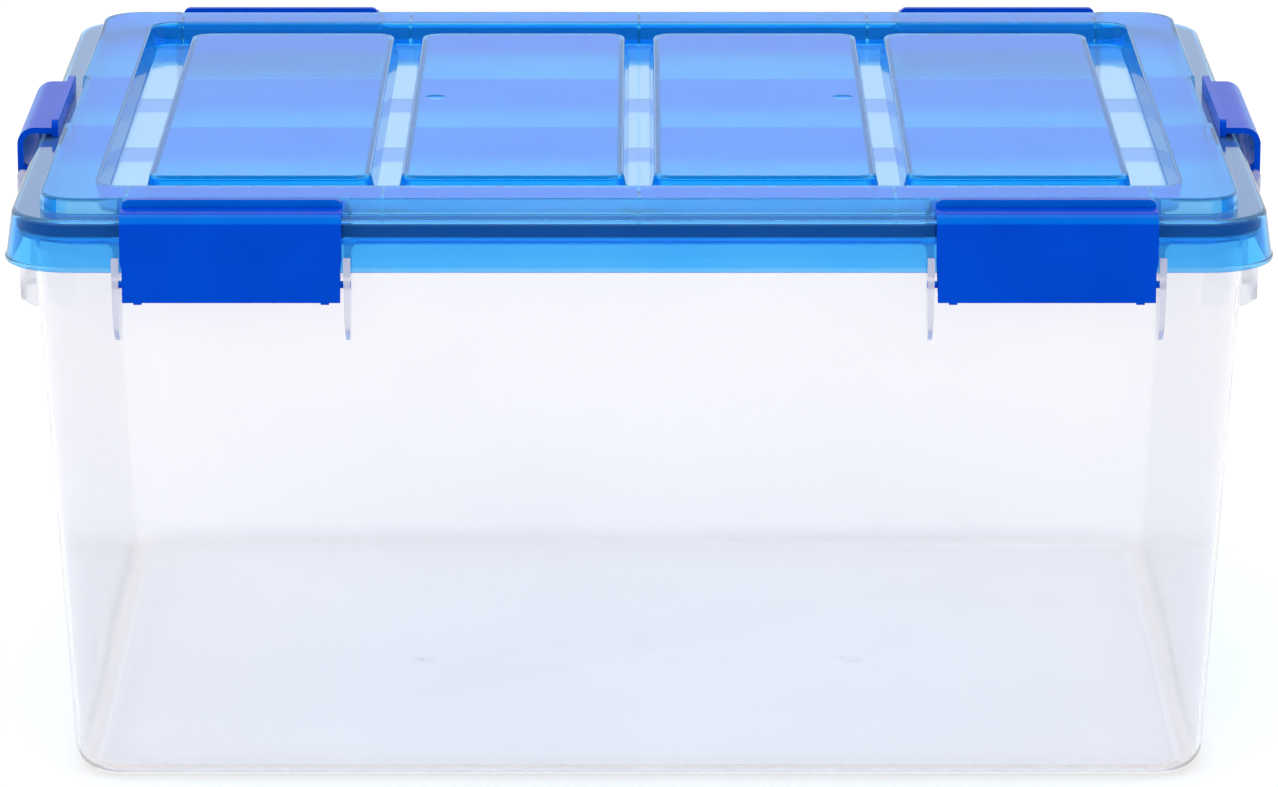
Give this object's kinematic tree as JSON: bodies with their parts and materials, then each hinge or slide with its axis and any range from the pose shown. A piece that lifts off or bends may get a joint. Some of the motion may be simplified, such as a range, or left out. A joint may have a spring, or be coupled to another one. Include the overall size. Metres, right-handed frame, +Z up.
{
  "type": "lidded storage tote",
  "caption": "Deep clear storage tote with a tinted panelled lid, a hidden seal and hook-over latches on all four sides.",
  "frame": {"origin": "middle of the footprint, on the floor", "axes": "+X along the length, +Y to the back, +Z up; the front faces -Y"},
  "size_m": [0.616, 0.466, 0.293],
  "materials": {
    "tub_plastic": "clear, slightly milky moulded polypropylene",
    "lid_plastic": "translucent blue moulded polypropylene",
    "seal_rubber": "dark matte foam rubber",
    "latch_plastic": "opaque satin royal blue moulded plastic"
  },
  "bodies": {
    "tub": {"tub": "tub_plastic"},
    "lid": {"lid": "lid_plastic", "lid_seal": "seal_rubber"},
    "latch_front_left": {"latch_front_left": "latch_plastic"},
    "latch_front_right": {"latch_front_right": "latch_plastic"},
    "latch_back_left": {"latch_back_left": "latch_plastic"},
    "latch_back_right": {"latch_back_right": "latch_plastic"},
    "latch_end_left": {"latch_end_left": "latch_plastic"},
    "latch_end_right": {"latch_end_right": "latch_plastic"}
  },
  "joints": [
    {"name": "lid_lift", "type": "slide", "parent": "tub", "child": "lid", "axis": [0, 0, 1], "range_m": [0, 0.03]},
    {"name": "latch_front_left_turn", "type": "hinge", "parent": "tub", "child": "latch_front_left", "pos_m": [-0.1915, -0.228, 0.255], "axis": [1, 0, 0], "range_deg": [0, 160]},
    {"name": "latch_front_right_turn", "type": "hinge", "parent": "tub", "child": "latch_front_right", "pos_m": [0.1915, -0.228, 0.255], "axis": [1, 0, 0], "range_deg": [0, 160]},
    {"name": "latch_back_left_turn", "type": "hinge", "parent": "tub", "child": "latch_back_left", "pos_m": [-0.1915, 0.228, 0.255], "axis": [-1, 0, 0], "range_deg": [0, 160]},
    {"name": "latch_back_right_turn", "type": "hinge", "parent": "tub", "child": "latch_back_right", "pos_m": [0.1915, 0.228, 0.255], "axis": [-1, 0, 0], "range_deg": [0, 160]},
    {"name": "latch_end_left_turn", "type": "hinge", "parent": "tub", "child": "latch_end_left", "pos_m": [-0.303, 0, 0.255], "axis": [0, -1, 0], "range_deg": [0, 160]},
    {"name": "latch_end_right_turn", "type": "hinge", "parent": "tub", "child": "latch_end_right", "pos_m": [0.303, 0, 0.255], "axis": [0, 1, 0], "range_deg": [0, 160]}
  ],
  "couplings": [
    {"joint": "latch_front_left_turn", "follows": "lid_lift", "rad_per_m": 93},
    {"joint": "latch_front_right_turn", "follows": "lid_lift", "rad_per_m": 93},
    {"joint": "latch_back_left_turn", "follows": "lid_lift", "rad_per_m": 93},
    {"joint": "latch_back_right_turn", "follows": "lid_lift", "rad_per_m": 93},
    {"joint": "latch_end_left_turn", "follows": "lid_lift", "rad_per_m": 93},
    {"joint": "latch_end_right_turn", "follows": "lid_lift", "rad_per_m": 93}
  ]
}
